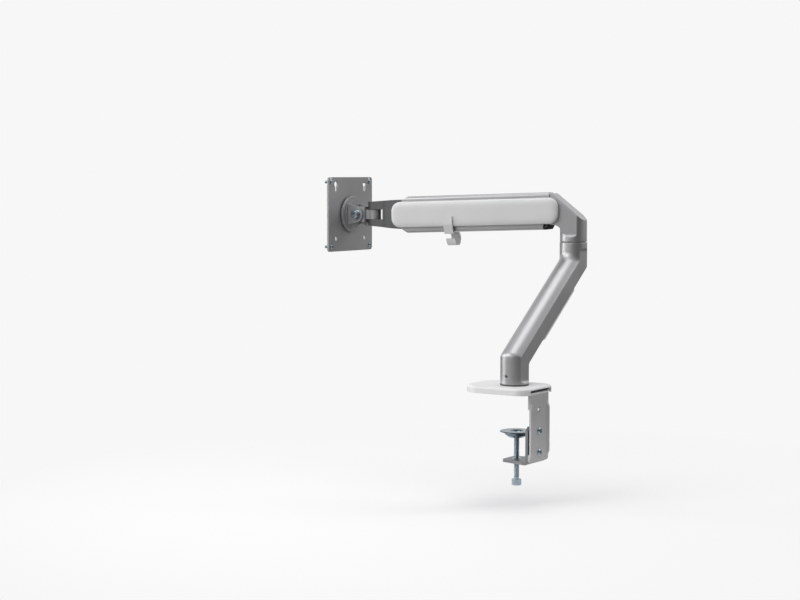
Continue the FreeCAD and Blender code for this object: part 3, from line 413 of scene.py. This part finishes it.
def stud_threads():
    """An M4 thread on each of the four studs that hold the screen."""
    head, stud, depth, pitch, margin = 3.2 * MM, 2 * MM, 0.25 * MM, 0.7 * MM, 0.2 * MM
    low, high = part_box("screen_screws")
    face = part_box("screen_plate")[0].y
    ridge = thread(stud, depth, pitch, margin, face - low.y - margin)
    towards_screen = Matrix.Rotation(math.radians(90), 4, "X")
    for row, height in enumerate((low.z + head, high.z - head), start=1):
        for column, across in enumerate((low.x + head, high.x - head), start=1):
            place = Matrix.Translation((across, face, height)) @ towards_screen
            piece(f"screen_thread_{row}_{column}", ridge, "plate", "zinc_steel", place)


def rounded_ring(low, high, corner, inset, level):
    """A rounded rectangle's points in XZ at one Y, inset from its edges. The corner centres stay put."""
    steps = 10
    radius = corner - inset
    points = []
    corners = ((high.x - corner, high.z - corner), (low.x + corner, high.z - corner),
               (low.x + corner, low.z + corner), (high.x - corner, low.z + corner))
    for quarter, (x, z) in enumerate(corners):
        for k in range(steps + 1):
            angle = math.pi / 2 * (quarter + k / steps)
            points.append((x + radius * math.cos(angle), level, z + radius * math.sin(angle)))
    return points


def crown(rim, tall, width, inset):
    """Inset and height pairs from a rolled-in rim over a full edge to the nearly flat middle."""
    steps, flank, fullness = 14, 2.6 * MM, 3.0
    rolled = ((1.0 * MM, 0.0), (0.25 * MM, 0.6 * MM), (0.0, 1.5 * MM))
    pairs = [(inset + inward, rim + up) for inward, up in rolled]
    for k in range(steps + 1):
        angle = math.pi / 2 * k / steps
        run, rise = 1 - math.cos(angle) ** (2 / fullness), math.sin(angle) ** (2 / fullness)
        pairs.append((inset + (width - inset) * run, rim + flank + (tall - flank) * rise))
    return pairs


def crowned_cover(name, node_name, link_place):
    """A side cover as moulded: a closed shell with a full crown, and the two posts it is screwed by."""
    wall, corner, width = 2.2 * MM, 14 * MM, 13.6 * MM
    hole_share, hole_deep, chamfer, sunk = 0.43, 5 * MM, 0.2 * MM, 0.6 * MM
    near_face = 0.1 * MM
    spots = local_spots(node_name, link_place)
    low, high = box_of(spots)
    side = 1 if high.y > -low.y else -1
    outer = max(high.y, -low.y)
    seat = min(abs(spot.y) for spot in spots)
    rim = min(abs(spot.y) for spot in spots if spot.x > high.x - MM)
    feet = [spot for spot in spots if abs(spot.y) < seat + near_face]
    first, last = box_of(feet)
    middle_x = (first.x + last.x) / 2
    ends = [[foot for foot in feet if (foot.x > middle_x) == far] for far in (False, True)]

    def build_cover(build):
        outside = [rounded_ring(low, high, corner, inset, side * level)
                   for inset, level in crown(rim, outer - rim, width, 0.0)]
        inside = [rounded_ring(low, high, corner, inset, side * level)
                  for inset, level in crown(rim, outer - rim - wall, width, wall)]
        loft(build, inside[::-1] + outside)
        for end in ends:
            lowest, highest = box_of(end)
            centre = (lowest + highest) / 2
            radius = (highest.x - lowest.x) / 2
            hole = radius * hole_share
            profile = ((hole, seat + hole_deep), (hole, seat), (radius - chamfer, seat),
                       (radius, seat + chamfer), (radius, outer - wall + sunk))
            loft(build, [
                [(centre.x + x, side * level, centre.z + z) for x, z in circle(size, 32)]
                for size, level in profile
            ])

    cover = piece(name, build_cover, "top_link", "white_plastic", link_place)
    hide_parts(node_name)


def side_covers():
    """Both covers, in the top link's own frame: X from the elbow pivot to the wrist pivot, Z up."""
    pivot, wrist = (Vector(joints[name]["pos_m"]) for name in ("arm_lift", "wrist_level"))
    along = wrist - pivot
    across = Vector(joints["arm_lift"]["axis"])
    up = along.cross(across)
    place = axes_at(pivot, along, up if up.z > 0 else -up)
    crowned_cover("near_cover", "side_cover_near", place)
    crowned_cover("far_cover", "side_cover_far", place)


def coil_heights(length, turns, closed, steps):
    """The wire's height at each step of a compression spring: flat end turns, then an even open pitch."""
    closed_turns, easing_turns = 0.7, 0.8
    openness = []
    for k in range(turns * steps):
        from_end = min(k, turns * steps - k) / steps
        share = min(1.0, max(0.0, (from_end - closed_turns) / easing_turns))
        openness.append(share * share * (3 - 2 * share))
    extra = (length - closed * turns) / sum(openness)
    heights = [0.0]
    for share in openness:
        heights.append(heights[-1] + closed / steps + extra * share)
    return heights


def lift_spring():
    """The lift spring in two halves, which meet at its middle."""
    place = axes_at(joints["tension_turn"]["pos_m"], joints["spring_travel"]["axis"], (0, 0, 1))
    low, high = box_of(local_spots("lift_spring", place))
    wire, turns, steps = 1.6 * MM, 14, 28
    closed_pitch = 2.06 * wire
    mean = (high.y - low.y) / 2 - wire
    heights = coil_heights(high.x - low.x - 2 * wire, turns, closed_pitch, steps)
    rings = []
    for k, height in enumerate(heights):
        angle = 2 * math.pi * k / steps
        out = Vector((0, math.cos(angle), math.sin(angle)))
        centre = Vector((low.x + wire + height, 0, 0)) + out * mean
        rings.append([centre + out * outward + Vector((forward, 0, 0))
                      for outward, forward in circle(wire, 12)])
    half = len(rings) // 2
    ends = [place @ Vector((x, 0, 0)) for x in (low.x + 2 * wire, high.x - 2 * wire)]
    halves = (("lift_spring_rear", rings[:half + 1], ends[0], "carriage"),
              ("lift_spring_front", rings[half:], ends[1], "seat"))
    for name, part_rings, end, mover in halves:
        coil = piece(name, lambda build, part_rings=part_rings: loft(build, part_rings), None,
                     slot_of["lift_spring"], place)
        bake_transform(coil)
        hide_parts("lift_spring")


clamp_thread()
stud_threads()
side_covers()
lift_spring()


# ---------------------------------------------------------------- studio

VIEW_PLACE = (2.1448, 1.2795, 0.3156)
VIEW_AZIMUTH, VIEW_ELEVATION = math.radians(124.58), math.radians(4.22)
VIEW_LENS, VIEW_SENSOR, VIEW_REACH = 78.89, 36, 100


def camera():
    """A long lens that looks slightly down on the near side cover. Azimuth 0 would look along +Y."""
    level = math.cos(VIEW_ELEVATION)
    look = Vector((-math.sin(VIEW_AZIMUTH) * level, math.cos(VIEW_AZIMUTH) * level,
                   -math.sin(VIEW_ELEVATION)))
    lens = bpy.data.cameras.new("camera")
    lens.sensor_width = VIEW_SENSOR
    lens.lens = VIEW_LENS
    lens.clip_end = VIEW_REACH
    made = bpy.data.objects.new("camera", lens)
    made.location = VIEW_PLACE
    made.rotation_euler = look.to_track_quat("-Z", "Y").to_euler()
    bpy.context.scene.collection.objects.link(made)
    bpy.context.scene.camera = made


LIT_SPOT = Vector((-0.08, -0.1, 0.1))


def soft_light(name, place, size, energy):
    """A white panel light that faces the middle of the arm. size is its width and height in metres."""
    lamp = bpy.data.lights.new(name, "AREA")
    lamp.shape = "RECTANGLE"
    lamp.size, lamp.size_y = size
    lamp.energy = energy
    made = bpy.data.objects.new(name, lamp)
    made.location = place
    made.rotation_euler = (LIT_SPOT - Vector(place)).to_track_quat("-Z", "Y").to_euler()
    bpy.context.scene.collection.objects.link(made)


# The paper behind the arm, and the studio that only lights it: pale all round but for one dark wall.
# The wall begins at the first cosine from its middle and is at its darkest from the second.
PAPER = (0.93, 0.93, 0.93, 1)
DARK_SIDE = (0.41, 0.91, -0.05)
DARK_WALL, LIGHT_WALL = (0.015, 0.015, 0.016, 1), (0.78, 0.78, 0.79, 1)
DARK_FROM, DARK_FULL = 0.5, 0.95


def world():
    """White paper where it is seen, and a dimmer, graded studio for everything that is lit by it."""
    made = bpy.data.worlds.new("studio")
    made.use_nodes = True
    bpy.context.scene.world = made
    tree = made.node_tree
    tree.nodes.clear()
    seen = node(tree, "ShaderNodeBackground", [("Color", PAPER), ("Strength", 1.0)]).outputs[0]
    place = node(tree, "ShaderNodeTexCoord").outputs["Generated"]
    facing = node(tree, "ShaderNodeVectorMath", [(0, place), (1, DARK_SIDE)], operation="DOT_PRODUCT")
    grade = spread(tree, facing.outputs["Value"], 1.0, 0.0, DARK_FROM, DARK_FULL)
    tone = blend(tree, grade, DARK_WALL, LIGHT_WALL)
    lit = node(tree, "ShaderNodeBackground", [("Color", tone), ("Strength", 1.0)]).outputs[0]
    camera_ray = node(tree, "ShaderNodeLightPath").outputs["Is Camera Ray"]
    mixed = node(tree, "ShaderNodeMixShader", [(0, camera_ray), (1, lit), (2, seen)]).outputs[0]
    out = node(tree, "ShaderNodeOutputWorld", [("Surface", mixed)])
    out.is_active_output = True


def floor_paint():
    """Pale and matt near the arm, and glowing like the paper further out. The glow lights little."""
    fade_from, fade_to, glow_on_arm = 0.05, 0.8, 0.1
    made, tree, shader = tree_of("floor_paint")
    shader.inputs["Base Color"].default_value = (0.86, 0.86, 0.86, 1)
    shader.inputs["Roughness"].default_value = 0.8
    shader.inputs["Specular IOR Level"].default_value = 0.2
    place = node(tree, "ShaderNodeTexCoord").outputs["Object"]
    far = node(tree, "ShaderNodeVectorMath", [(0, place)], operation="LENGTH").outputs["Value"]
    fade = spread(tree, far, 0.0, 1.0, fade_from, fade_to)
    seen = node(tree, "ShaderNodeLightPath").outputs["Is Camera Ray"]
    bright = spread(tree, seen, glow_on_arm, 1.0, 0.0, 1.0)
    glow = node(tree, "ShaderNodeEmission", [("Color", PAPER), ("Strength", bright)]).outputs[0]
    mixed = node(tree, "ShaderNodeMixShader", [(0, fade), (1, shader.outputs[0]), (2, glow)]).outputs[0]
    out = next(item for item in tree.nodes if item.type == "OUTPUT_MATERIAL")
    tree.links.new(mixed, out.inputs["Surface"])
    return made


def floor():
    """A wide disc just under the clamp screw at its lowest."""
    made = floor_paint()
    mesh = bpy.data.meshes.new("floor")
    build = bmesh.new()
    bmesh.ops.create_circle(build, cap_ends=True, segments=96, radius=12)
    build.to_mesh(mesh)
    build.free()
    obj = bpy.data.objects.new("floor", mesh)
    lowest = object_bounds()[0][2] + joints["clamp_travel"]["range_m"][0]
    obj.location = (0, 0, lowest - MM)
    mesh.materials.append(made)
    bpy.context.scene.collection.objects.link(obj)
    obj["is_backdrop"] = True


camera()
world()
floor()
soft_light("front", (1.5, -0.75, 1.0), (1.1, 1.1), 11)
soft_light("strip", (0.75, -1.7, 0.25), (0.85, 1.3), 12)
soft_light("overhead", (0.0, -0.05, 1.6), (0.9, 0.9), 5.0)
soft_light("rim", (-1.1, 1.1, 1.1), (0.5, 0.7), 4.5)
bpy.context.scene.view_settings.view_transform = "Standard"
